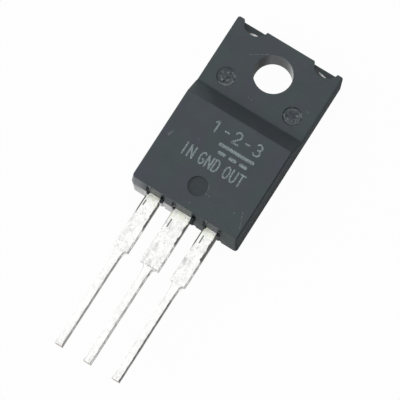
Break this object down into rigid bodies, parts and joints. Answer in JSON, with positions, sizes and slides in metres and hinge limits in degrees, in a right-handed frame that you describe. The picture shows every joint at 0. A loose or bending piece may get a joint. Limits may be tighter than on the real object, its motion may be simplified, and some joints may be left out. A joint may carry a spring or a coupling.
{
  "type": "voltage regulator",
  "caption": "Linear voltage regulator in a full-mould flat package, with a tab with a screw hole and straight flat leads.",
  "frame": {"origin": "axis of the mounting hole, on the flat back face", "axes": "+Z out of the marked front face along the mounting hole, +Y towards the tab end, leads towards -Y"},
  "size_m": [0.0094, 0.0291, 0.0045],
  "materials": {
    "mould_epoxy": "fine matte epoxy moulding compound",
    "tinned_copper": "copper alloy with a bright solder coat",
    "silicon": "polished silicon",
    "die_solder": "dull solder",
    "bond_aluminium": "drawn wire"
  },
  "bodies": {
    "root": {"mould_body": "mould_epoxy", "header_ground_lead": "tinned_copper", "input_lead": "tinned_copper", "output_lead": "tinned_copper", "regulator_die": "silicon", "die_attach_solder": "die_solder", "input_bond_wire": "bond_aluminium", "output_bond_wire": "bond_aluminium", "ground_bond_wire": "bond_aluminium"}
  },
  "joints": []
}
